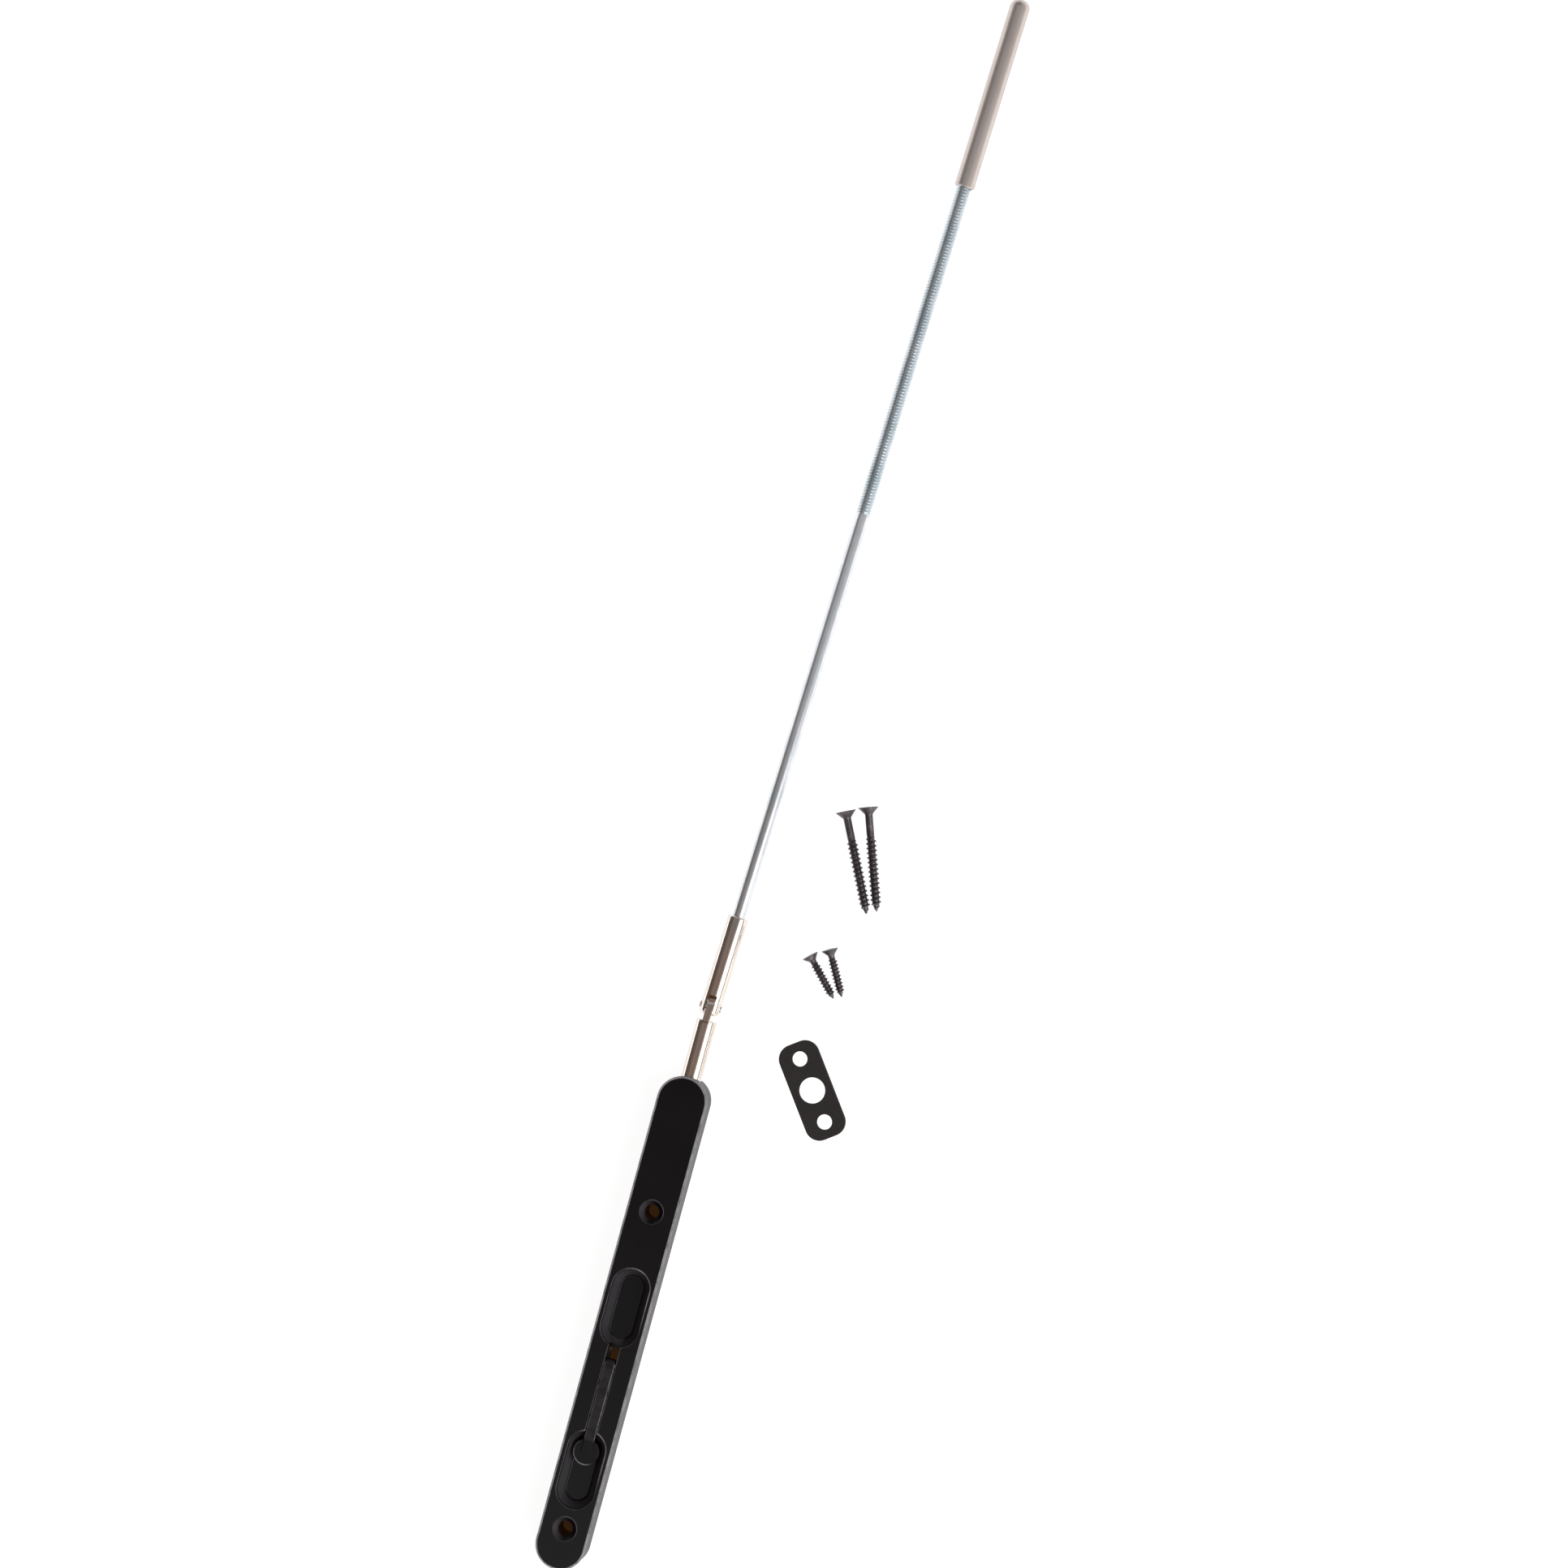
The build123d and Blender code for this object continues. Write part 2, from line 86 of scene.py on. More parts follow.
class Wire:
    # a node's output that Python can do sums with
    def __init__(self, sheet, socket):
        self.sheet = sheet
        self.socket = socket

    def sum(self, operation, first, second):
        return self.sheet.put("ShaderNodeMath", {"operation": operation}, {0: first, 1: second})

    def __add__(self, other):
        return self.sum("ADD", self, other)

    def __radd__(self, other):
        return self.sum("ADD", other, self)

    def __sub__(self, other):
        return self.sum("SUBTRACT", self, other)

    def __rsub__(self, other):
        return self.sum("SUBTRACT", other, self)

    def __mul__(self, other):
        return self.sum("MULTIPLY", self, other)

    def __rmul__(self, other):
        return self.sum("MULTIPLY", other, self)

    def __truediv__(self, other):
        return self.sum("DIVIDE", self, other)

    def __rtruediv__(self, other):
        return self.sum("DIVIDE", other, self)

    def __pow__(self, other):
        return self.sum("POWER", self, other)

    def __rpow__(self, other):
        return self.sum("POWER", other, self)


class Sheet:
    # the nodes of one finish, or of the world
    def __init__(self, tree):
        self.tree = tree
        tree.nodes.clear()

    def plug(self, socket, value):
        if isinstance(value, Wire):
            self.tree.links.new(value.socket, socket)
        else:
            socket.default_value = value

    def put(self, kind, settings=None, values=None, out=0):
        node = self.tree.nodes.new(kind)
        for key, value in (settings or {}).items():
            if key == "stops":
                ramp = node.color_ramp
                while len(ramp.elements) < len(value):
                    ramp.elements.new(0.5)
                for element, (place, colour) in zip(ramp.elements, value):
                    element.position = place
                    element.color = (*colour, 1)
            else:
                setattr(node, key, value)
        for key, value in (values or {}).items():
            self.plug(node.inputs[key], value)
        if isinstance(out, tuple):
            return [Wire(self, node.outputs[name]) for name in out]
        return Wire(self, node.outputs[out]) if node.outputs else node

    def spots(self):
        return self.put("ShaderNodeTexCoord", out="Object")

    def turned(self, spots, place, turn):
        # the pattern's own axes: centred on place and turned about Z
        return self.put("ShaderNodeMapping", {"vector_type": "TEXTURE"},
                        {"Vector": spots, "Location": place, "Rotation": (0, 0, turn)})

    def stretched(self, spots, amounts):
        return self.put("ShaderNodeVectorMath", {"operation": "MULTIPLY"}, {0: spots, 1: amounts})

    def noise(self, spots, scale, detail=3, roughness=0.55):
        return self.put("ShaderNodeTexNoise", None,
                        {"Vector": spots, "Scale": scale, "Detail": detail, "Roughness": roughness}, "Fac")

    def band(self, value, low, high, least=0.0, most=1.0):
        # eases from least to most while value goes from low to high
        return self.put("ShaderNodeMapRange", {"interpolation_type": "SMOOTHSTEP"},
                        {0: value, 1: low, 2: high, 3: least, 4: most})

    def tint(self, share, first, second):
        return self.put("ShaderNodeMix", {"data_type": "RGBA"}, {0: share, 6: first, 7: second}, 2)

    def size(self, value):
        return self.put("ShaderNodeMath", {"operation": "ABSOLUTE"}, {0: value})

    def axes(self, spots):
        return self.put("ShaderNodeSeparateXYZ", None, {0: spots}, ("X", "Y", "Z"))


class Finish(Sheet):
    def __init__(self, name):
        self.material = bpy.data.materials.new(name)
        self.material.use_nodes = True
        super().__init__(self.material.node_tree)

    def shade(self, bump=None, bumpStrength=0.3, bumpDepth=0.00005, **values):
        inputs = dict(values)
        if bump is not None:
            inputs["Normal"] = self.put("ShaderNodeBump", None,
                                        {"Strength": bumpStrength, "Distance": bumpDepth, "Height": bump})
        names = {"colour": "Base Color", "rough": "Roughness", "metal": "Metallic",
                 "specular": "Specular IOR Level"}
        inputs = {names.get(key, key): value for key, value in inputs.items()}
        shader = self.put("ShaderNodeBsdfPrincipled", None, inputs)
        self.put("ShaderNodeOutputMaterial", None, {"Surface": shader})
        return self.material


def rgb(red, green, blue):
    return (red, green, blue, 1)


# finishes

casePaint = {
    "black": rgb(0.0012, 0.0008, 0.0022),
    "worn": rgb(0.0030, 0.0023, 0.0045),
    "paler": rgb(0.36, 0.345, 0.37),      # paler edges: thin, worn paint in patches, and mostly a painted highlight along the chamfers, rims, countersinks and slot
    "scoop": rgb(0.040, 0.038, 0.044),    # painted sheen on the recesses' leaning walls, and a painted highlight on the countersinks' left side
    "rough": 0.27,
    "specular": 0.30,
    "castRough": 0.16,    # added on the sides
    "grain": 2600,        # powder coat's pebbles, per metre
    "mottle": 45,
    "patches": 260,       # where the edges' wear and painted highlight come and go
    "bump": 0.10,
    "bevel": 0.8, "drop": 1.0,            # the face's edge, mm
    "recess": (32.3, 15.6, 33.85, 3.0),   # length, width, distance from the pivot, wall's run, mm
    "sink": 4.9,          # countersinks' radius, mm
    "holeSpacing": 132.5,
    "leverSlot": 5.0,     # its width, mm
}


def pillDistance(sheet, x, y, middle, length, width):
    # how far a place is inside a pill-shaped outline, in metres
    beyond = sheet.size(y - middle)
    beyond = sheet.put("ShaderNodeMath", {"operation": "MAXIMUM"}, {0: beyond - (length - width) / 2, 1: 0})
    return width / 2 - (x * x + beyond * beyond) ** 0.5


def paintSheet(name, look):
    # the plain coat: its sheet, places, colour, roughness and pebbles
    sheet = Finish(name)
    spots = sheet.spots()
    pebbles = sheet.noise(spots, look["grain"], 2)
    mottle = sheet.noise(spots, look["mottle"], 4)
    specks = sheet.band(sheet.noise(spots, look["grain"] * 0.4, 5, 0.7), 0.66, 0.78)
    worn = sheet.band(mottle, 0.35, 0.75) * 0.45 + specks * 0.3
    colour = sheet.tint(worn, look["black"], look["worn"])
    rough = look["rough"] + (mottle - 0.5) * 0.10 + specks * 0.05
    return sheet, sheet.axes(spots), colour, rough, pebbles


def paintFinish(name, look):
    sheet, places, colour, rough, pebbles = paintSheet(name, look)
    return sheet.shade(bump=pebbles, bumpStrength=look["bump"], bumpDepth=0.00004, colour=colour, rough=rough)


def casePaintFinish(name, look):
    sheet, (x, y, z), colour, rough, pebbles = paintSheet(name, look)
    low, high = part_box("body_casting")
    pinLow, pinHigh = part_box("lever_pivot_pin")
    pivotY = (pinLow.y + pinHigh.y) / 2
    patchy = sheet.band(sheet.noise(sheet.spots(), look["patches"], 3), 0.30, 0.62, 0.45, 1)
    nearTop = sheet.band(z, high.z - (look["drop"] + 0.3) * mm, high.z - look["drop"] * mm)
    inside = pillDistance(sheet, x, y, (low.y + high.y) / 2, high.y - low.y, high.x - low.x)
    # the face's chamfer: paler from worn paint and from a painted highlight
    edge = sheet.band(inside, (look["bevel"] - 0.15) * mm, (look["bevel"] + 0.2) * mm, 1, 0) * nearTop
    edge = edge * sheet.band(x, -0.004, 0.004, 1, 0.5)      # painted highlight, brightest on the left chamfer
    length, width, offset, run = (number * mm for number in look["recess"])
    scoop = 0
    for middle in (pivotY - offset, pivotY + offset):
        within = pillDistance(sheet, x, y, middle, length, width)
        # the recess rims: painted highlight, strongest towards +X and +Y
        away = x * 0.8 + (y - middle) * 0.45
        rim = sheet.band(within, -0.00055, -0.00030) * sheet.band(within, 0.0000, 0.00025, 1, 0)
        edge = edge + rim * sheet.band(away, 0.002, 0.008, 0.08, 0.75) * nearTop
        # paler recess walls: painted sheen
        wall = sheet.band(within, 0.0002, 0.0005) * sheet.band(within, run - 0.0005, run - 0.0001, 1, 0)
        scoop = scoop + wall
    for side in (-1, 1):
        off = y - side * look["holeSpacing"] / 2 * mm
        ring = (x * x + off * off) ** 0.5
        sink = look["sink"] * mm
        # countersink lips: painted highlight, strongest towards +X and +Y
        lip = sheet.band(ring, sink - 0.0002, sink) * sheet.band(ring, sink + 0.0001, sink + 0.0003, 1, 0)
        edge = edge + lip * sheet.band(x + off, 0, 0.005, 0.08, 0.35)
        # the countersinks' left side: painted highlight
        scoop = scoop + sheet.band(ring, sink - 0.0002, sink, 1, 0) * sheet.band(x, -0.004, 0.001, 0.7, 0.1)
    slot = look["leverSlot"] / 2 * mm
    aside = sheet.size(x)
    between = sheet.band(sheet.size(y - pivotY), offset - length / 2, offset - length / 2 + 0.001, 1, 0)
    # light lines along the lever slot's edges: painted highlight
    edge = edge + sheet.band(aside, slot + 0.0001, slot + 0.0004, 0.25, 0) * between * nearTop
    # the recesses' painted sheen and the countersinks' painted highlight
    colour = sheet.tint(scoop, colour, look["scoop"])
    # the paler colour on the edges is a painted highlight, patchy like worn paint
    colour = sheet.tint(edge * patchy, colour, look["paler"])
    sides = sheet.band(z, high.z - 0.0022, high.z - 0.0014, 1, 0) * sheet.band(inside, 0.0010, 0.0014, 1, 0)
    rough = rough + sides * look["castRough"] + scoop * 0.12
    return sheet.shade(bump=pebbles, bumpStrength=look["bump"], bumpDepth=0.00004, colour=colour, rough=rough,
                       specular=look["specular"])


# width, pad's radius and pad's thickness in mm
leverPaint = dict(casePaint, rough=0.29, grain=3000, patches=300, bump=0.09, width=4.4, pad=5.4, thick=3.4)


def leverPaintFinish(name, look):
    sheet, (x, y, z), colour, rough, pebbles = paintSheet(name, look)
    low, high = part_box("lever")
    padY = low.y + look["pad"] * mm
    padTop = (high.z + low.z) / 2 + look["thick"] / 2 * mm
    patchy = sheet.band(sheet.noise(sheet.spots(), look["patches"], 3), 0.30, 0.62, 0.35, 1)
    off = y - padY
    ring = (x * x + off * off) ** 0.5
    reach, half = look["pad"] * mm, look["width"] / 2 * mm
    # painted highlight: a crescent on the pad's lower-left rim and light lines along the stem's edges, patchy
    # like wear
    lowerLeftGlint = sheet.band(x * 0.75 + off * 0.6, -0.0045, 0.0005, 0.9, 0.05)
    rim = sheet.band(ring, reach - 0.0006, reach - 0.0003) * sheet.band(z, padTop - 0.0006, padTop - 0.0003)
    stem = sheet.band(sheet.size(x), half - 0.0005, half - 0.0003)
    stem = stem * sheet.band(z, high.z - 0.0006, high.z - 0.0003)
    edge = rim * lowerLeftGlint + stem * sheet.band(ring, reach, reach + 0.001) * 0.45
    return sheet.shade(bump=pebbles, bumpStrength=look["bump"], bumpDepth=0.00004,
                       colour=sheet.tint(edge * patchy, colour, look["paler"]), rough=rough,
                       specular=look["specular"])


platePaint = {
    "black": rgb(0.0110, 0.0088, 0.0088),
    "worn": rgb(0.020, 0.0165, 0.0155),
    "rough": 0.50,
    "grain": 1900,
    "mottle": 70,
    "bump": 0.25,
}


nickelLook = {
    "bright": rgb(0.80, 0.74, 0.69),
    "tan": rgb(0.62, 0.50, 0.41),
    "rough": 0.10,
    "rings": 5200,         # turning marks, per metre
    "pits": 1500,
}


def pinPlace():
    low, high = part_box("knuckle_pin")
    return (low + high) / 2


rodLean = radians(1.9)     # how far the rod leans towards +X from the stub


def nickelFinish(name, look, lean):
    sheet = Finish(name)
    spots = sheet.turned(sheet.spots(), pinPlace(), -lean)
    x, y, z = sheet.axes(spots)
    rings = sheet.noise(sheet.stretched(spots, (60, look["rings"], 60)), 1, 3)
    pits = sheet.band(sheet.noise(spots, look["pits"], 4, 0.7), 0.60, 0.74)
    cloud = sheet.noise(spots, 90, 3)
    nearPin = sheet.band(y, 0.004, 0.022, 1, 0.35)
    pits = pits * nearPin
    colour = sheet.tint(sheet.band(cloud, 0.4, 0.7) * 0.3 + pits * 0.35, look["bright"], look["tan"])
    rough = look["rough"] + rings * 0.07 + pits * 0.22 + (cloud - 0.5) * 0.05
    relief = rings * 0.5 - pits * 0.8
    return sheet.shade(bump=relief, bumpStrength=0.12, bumpDepth=0.00003,
                       colour=colour, rough=rough, metal=1.0)


rodLook = {
    "grey": rgb(0.80, 0.83, 0.87),
    "blue": rgb(0.57, 0.65, 0.69),
    "rough": 0.27,
    "streaks": 1700,
    "threadFrom": 207.5,   # mm past the pin, where the thread's bluer plating starts
}


def zincFinish(name, look):
    sheet = Finish(name)
    spots = sheet.turned(sheet.spots(), pinPlace(), -rodLean)
    x, y, z = sheet.axes(spots)
    streaks = sheet.noise(sheet.stretched(spots, (look["streaks"], 25, look["streaks"])), 1, 3)
    cloud = sheet.noise(spots, 70, 4)
    speckle = sheet.band(sheet.noise(spots, 1300, 4, 0.7), 0.6, 0.76)
    threaded = sheet.band(y, look["threadFrom"] * mm, look["threadFrom"] * mm + 0.002)
    blue = sheet.band(cloud, 0.35, 0.7) * 0.5 + threaded * 0.45
    colour = sheet.tint(blue, look["grey"], look["blue"])
    rough = look["rough"] + streaks * 0.10 + speckle * 0.12 + (cloud - 0.5) * 0.08
    return sheet.shade(bump=streaks * 0.6 - speckle * 0.6, bumpStrength=0.15, bumpDepth=0.00003,
                       colour=colour, rough=rough, metal=1.0)


tipLook = {
    "satin": rgb(0.66, 0.60, 0.57),
    "dull": rgb(0.56, 0.49, 0.45),
    "rough": 0.36,
    "rings": 3800,
}


def tipFinish(name, look):
    sheet = Finish(name)
    spots = sheet.turned(sheet.spots(), pinPlace(), -rodLean)
    rings = sheet.noise(sheet.stretched(spots, (50, look["rings"], 50)), 1, 3)
    cloud = sheet.noise(sheet.stretched(spots, (160, 40, 160)), 1, 4)
    pits = sheet.band(sheet.noise(spots, 1100, 4, 0.7), 0.62, 0.76)
    colour = sheet.tint(sheet.band(cloud, 0.35, 0.7) * 0.45 + pits * 0.25, look["satin"], look["dull"])
    rough = look["rough"] + rings * 0.08 + (cloud - 0.5) * 0.1 + pits * 0.1
    return sheet.shade(bump=rings - pits * 0.6, bumpStrength=0.16, bumpDepth=0.00003,
                       colour=colour, rough=rough, metal=1.0)


steelLook = {"bright": rgb(0.50, 0.48, 0.45), "dull": rgb(0.34, 0.31, 0.28), "rough": 0.34, "grain": 900}
springLook = {"bright": rgb(0.30, 0.33, 0.38), "dull": rgb(0.17, 0.17, 0.2), "rough": 0.3, "grain": 1400}


def steelFinish(name, look):
    sheet = Finish(name)
    spots = sheet.spots()
    brushed = sheet.noise(sheet.stretched(spots, (look["grain"] * 2, 60, look["grain"])), 1, 3)
    cloud = sheet.noise(spots, 130, 4)
    colour = sheet.tint(sheet.band(cloud, 0.35, 0.7), look["bright"], look["dull"])
    rough = look["rough"] + brushed * 0.12 + (cloud - 0.5) * 0.1
    return sheet.shade(bump=brushed, bumpStrength=0.15, bumpDepth=0.00003,
                       colour=colour, rough=rough, metal=1.0)


# the screws' paler colour is rubbed, worn patches of the coating
screwLook = {"dark": rgb(0.088, 0.077, 0.083), "paler": rgb(0.23, 0.21, 0.215), "rough": 0.30, "grain": 1500}


def phosphateFinish(name, look):
    sheet = Finish(name)
    spots = sheet.spots()
    grain = sheet.noise(spots, look["grain"], 4, 0.65)
    cloud = sheet.noise(spots, 220, 4)
    paler = sheet.band(grain * 0.6 + cloud * 0.5, 0.56, 0.74)
    colour = sheet.tint(paler, look["dark"], look["paler"])
    rough = look["rough"] + (cloud - 0.5) * 0.2 - paler * 0.08
    return sheet.shade(bump=grain, bumpStrength=0.25, bumpDepth=0.00004,
                       colour=colour, rough=rough, metal=0.75)


finishes = {
    "case_black": casePaintFinish("caseBlack", casePaint),
    "lever_black": leverPaintFinish("leverBlack", leverPaint),
    "plate_black": paintFinish("plateBlack", platePaint),
    "screw_black": phosphateFinish("screwBlack", screwLook),
    "zinc_steel": steelFinish("innerSteel", steelLook),
    "spring_steel": steelFinish("springSteel", springLook),
    "bright_nickel": nickelFinish("sleeveNickel", nickelLook, rodLean),
    "rod_zinc": zincFinish("rodZinc", rodLook),
    "satin_nickel": tipFinish("tipNickel", tipLook),
}
stubNickel = nickelFinish("stubNickel", nickelLook, 0)
slotOf = {part["node"]: part["material_slot"] for part in frame["record"]["subparts"]}
print("finishes made:", len(finishes) + 1)


# helpers for new pieces

def loopShape(points, steps=64):
    # turns a profile of (radius, distance along) round the Y axis
    shape = bmesh.new()
    ring = [shape.verts.new((radius * mm, along * mm, 0)) for radius, along in points]
    lines = [shape.edges.new(pair) for pair in zip(ring, ring[1:])]
    bmesh.ops.spin(shape, geom=ring + lines, cent=(0, 0, 0), axis=(0, 1, 0), angle=2 * pi, steps=steps,
                   use_merge=True, use_duplicate=False)
    bmesh.ops.remove_doubles(shape, verts=shape.verts, dist=1e-7)
    bmesh.ops.recalc_face_normals(shape, faces=shape.faces)
    return shape


def threadShape(root, crest, pitch, start, turns, steps=20, land=0.1, foot=0.47):
    # one right-hand ridge wound round the Y axis, closed at both ends
    shape = bmesh.new()
    foot, land = foot * pitch, land * pitch
    corners = [(root - 0.12, -foot), (crest, -land), (crest, land), (root - 0.12, foot)]
    ring = [shape.verts.new((radius * mm, (start + along) * mm, 0)) for radius, along in corners]
    lines = [shape.edges.new((ring[k], ring[(k + 1) % 4])) for k in range(4)]
    bmesh.ops.spin(shape, geom=ring + lines, cent=(0, 0, 0), axis=(0, 1, 0),
                   dvec=(0, pitch / steps * mm, 0), angle=2 * pi, steps=steps,
                   use_merge=False, use_duplicate=False)
    firstTurn = shape.verts[:] + shape.edges[:] + shape.faces[:]
    for turn in range(1, turns):
        copy = bmesh.ops.duplicate(shape, geom=firstTurn)["geom"]
        points = [item for item in copy if isinstance(item, bmesh.types.BMVert)]
        bmesh.ops.translate(shape, verts=points, vec=(0, pitch * turn * mm, 0))
    bmesh.ops.remove_doubles(shape, verts=shape.verts, dist=1e-6)
    rims = [edge for edge in shape.edges if edge.is_boundary]
    bmesh.ops.holes_fill(shape, edges=rims, sides=0)
    bmesh.ops.recalc_face_normals(shape, faces=shape.faces)
    return shape


def resize(shape, radiusAt):
    # radiusAt(radius, distance along) gives each point's new radius, all in mm
    for vert in shape.verts:
        radius = hypot(vert.co.x, vert.co.z) / mm
        if radius > 1e-6:
            share = radiusAt(radius, vert.co.y / mm) / radius
            vert.co.x *= share
            vert.co.z *= share


def toMesh(shape, name):
    mesh = bpy.data.meshes.new(name)
    shape.to_mesh(mesh)
    shape.free()
    return mesh


def toObject(mesh, name):
    piece = bpy.data.objects.new(name, mesh)
    bpy.context.scene.collection.objects.link(piece)
    return piece


def cutAway(shape, cutter):
    body = toObject(toMesh(shape, "body"), "body")
    tool = toObject(toMesh(cutter, "tool"), "tool")
    cut = body.modifiers.new("cut", "BOOLEAN")
    cut.operation = "DIFFERENCE"
    cut.solver = "EXACT"
    cut.use_self = True
    cut.object = tool
    bpy.context.view_layer.update()
    mesh = bpy.data.meshes.new_from_object(body.evaluated_get(bpy.context.evaluated_depsgraph_get()))
    result = bmesh.new()
    result.from_mesh(mesh)
    for thing in (body, tool):
        bpy.data.objects.remove(thing)
    bpy.data.meshes.remove(mesh)
    return result


def gather(shapes, place):
    # puts several shapes in one, moved to their place
    whole = bmesh.new()
    for shape in shapes:
        mesh = toMesh(shape, "part")
        mesh.transform(place)
        whole.from_mesh(mesh)
        bpy.data.meshes.remove(mesh)
    return whole


def finishPiece(shapes, name, body, node, sharp=32, finish=None):
    # one object from shapes that are already in place
    whole = bmesh.new()
    for shape in shapes:
        mesh = toMesh(shape, "part")
        whole.from_mesh(mesh)
        bpy.data.meshes.remove(mesh)
    mesh = toMesh(whole, name)
    mesh.shade_smooth()
    mesh.set_sharp_from_angle(angle=radians(sharp))
    mesh.materials.append(finish or finishes[slotOf[node]])
    piece = toObject(mesh, name)
    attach(piece, body)
    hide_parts(node)


def islands(node):
    # the separate solids of a CAD node, each as its points
    shape = bmesh.new()
    shape.from_mesh(nodes[node].data)
    bmesh.ops.remove_doubles(shape, verts=shape.verts, dist=1e-6)
    left = set(shape.verts)
    found = []
    while left:
        grown, edge = set(), [left.pop()]
        while edge:
            vert = edge.pop()
            grown.add(vert)
            for line in vert.link_edges:
                other = line.other_vert(vert)
                if other in left:
                    left.discard(other)
                    edge.append(other)
        found.append([vert.co.copy() for vert in grown])
    shape.free()
    return found


# wood screws

def crossRecess(width, depth, arm):
    # four tapered wings and a pointed middle, for a cross-head driver
    cutter = bmesh.new()
    for turn in (0, pi / 2):
        wing = bmesh.ops.create_cube(cutter, size=1)["verts"]
        bmesh.ops.scale(cutter, verts=wing, vec=(width * mm, depth * 2 * mm, arm * 2 * mm))
        for vert in wing:
            if vert.co.y > 0:
                vert.co.x *= 0.7
                vert.co.z *= 0.45
        bmesh.ops.rotate(cutter, verts=wing, cent=(0, 0, 0), matrix=Matrix.Rotation(turn, 3, "Y"))
    return cutter


def screwShapes(size):
    # a screw along +Y, its head's top at the origin
    head, rim, shank, root, crest = size["head"], size["rim"], size["shank"], size["root"], size["crest"]
    coneEnd = rim + (head - shank)
    length, threadFrom, pointFrom = size["length"], size["threadFrom"], size["pointFrom"]
    profile = [(0, 0), (head - 0.15, 0), (head - 0.04, 0.05), (head, 0.15), (head, rim),
               (head - 0.1, rim + 0.12), (shank + 0.35, coneEnd - 0.25), (shank + 0.08, coneEnd + 0.15),
               (shank, coneEnd + 0.5), (shank, threadFrom - 0.5), (root, threadFrom + 0.2), (root, pointFrom),
               (root * 0.72, pointFrom + (length - pointFrom) * 0.4),
               (root * 0.35, pointFrom + (length - pointFrom) * 0.75), (0, length)]
    body = loopShape(profile, 48)
    body = cutAway(body, crossRecess(size["slot"], size["slotDepth"], head * 0.56))
    turns = int((length - 0.4 - threadFrom) / size["pitch"])
    thread = threadShape(root, crest, size["pitch"], threadFrom, turns, 22, 0.06, 0.36)

    def pointed(radius, along):
        fade = min(1, max(0, (along - threadFrom) / size["pitch"]))
        core = root if along < pointFrom else root * max(0.12, (length - along) / (length - pointFrom))
        return core - 0.1 + (radius - root + 0.12) * fade * (0.35 + 0.65 * core / root)

    resize(thread, pointed)
    return [body, thread]


def screwPlaces(node):
    # each screw's head centre and the way it points
    places = []
    for points in islands(node):
        middle = sum(points, Vector()) / len(points)
        tip = max(points, key=lambda point: (point - middle).length)
        reach = max((point - tip).length for point in points)
        rim = [point for point in points if (point - tip).length > reach - 1e-5]
        centre = sum(rim, Vector()) / len(rim)
        places.append((centre, (tip - centre).normalized()))
    return sorted(places, key=lambda place: place[0].x)


def placeScrew(centre, way, twist):
    side = way.cross(Vector((0, 0, 1)))
    side.normalize()
    top = side.cross(way)
    turn = Matrix((side, way, top)).transposed().to_4x4()
    return Matrix.Translation(centre) @ turn @ Matrix.Rotation(twist, 4, "Y")


faceScrew = {"length": 42.8, "head": 4.1, "rim": 0.3, "shank": 1.6, "root": 1.52, "crest": 2.2, "pitch": 1.9,
             "threadFrom": 11.6, "pointFrom": 39.2, "slot": 0.85, "slotDepth": 2.2}
strikeScrew = {"length": 20.2, "head": 3.4, "rim": 0.3, "shank": 1.3, "root": 1.26, "crest": 1.9, "pitch": 1.5,
               "threadFrom": 3.4, "pointFrom": 17.2, "slot": 0.75, "slotDepth": 1.8}


def makeScrews(node, name, body, size):
    shapes = []
    for number, (centre, way) in enumerate(screwPlaces(node)):
        shapes.append(gather(screwShapes(size), placeScrew(centre, way, 0.5 + number * 1.1)))
    finishPiece(shapes, name, body, node)


makeScrews("face_screws", "longScrews", "face_screw_pair", faceScrew)
makeScrews("strike_screws", "shortScrews", "strike_screw_pair", strikeScrew)
print("screws made")


# rod

rodSize = {"start": 20.05, "radius": 2.75, "threadFrom": 208.4, "end": 372.8, "root": 2.5, "crest": 3.1,
           "pitch": 1.27}


def makeRod(size):
    radius, root = size["radius"], size["root"]
    profile = [(0, size["start"]), (radius, size["start"]), (radius, size["threadFrom"] - 0.4),
               (root, size["threadFrom"] + 0.3), (root, size["end"] - 0.7), (root - 0.6, size["end"]),
               (0, size["end"])]
    shaft = loopShape(profile, 72)
    turns = int((size["end"] - 1.3 - size["threadFrom"]) / size["pitch"])
    thread = threadShape(root, size["crest"], size["pitch"], size["threadFrom"] + 0.3, turns, 26, 0.07)

    def eased(radius, along):
        fade = min(1, max(0, (along - size["threadFrom"] + 0.4) / (size["pitch"] * 1.2)))
        fade = min(fade, max(0, (size["end"] - 0.4 - along) / size["pitch"]))
        return root - 0.12 + (radius - root + 0.12) * fade

    resize(thread, eased)
    place = Matrix.Translation(pinPlace()) @ Matrix.Rotation(-rodLean, 4, "Z")
    finishPiece([gather([shaft, thread], place)], "threadedRod", "rod", "extension_rod", 40)


makeRod(rodSize)
print("rod made")


# bolt stub, knuckle and tip

def corner(radius, along, round, start, stop, steps=8):
    # points of a rounded corner, centred at (radius, along), from one angle to another, degrees from outwards
    angles = [radians(start + (stop - start) * k / steps) for k in range(steps + 1)]
    return [(radius + round * cos(angle), along + round * sin(angle)) for angle in angles]


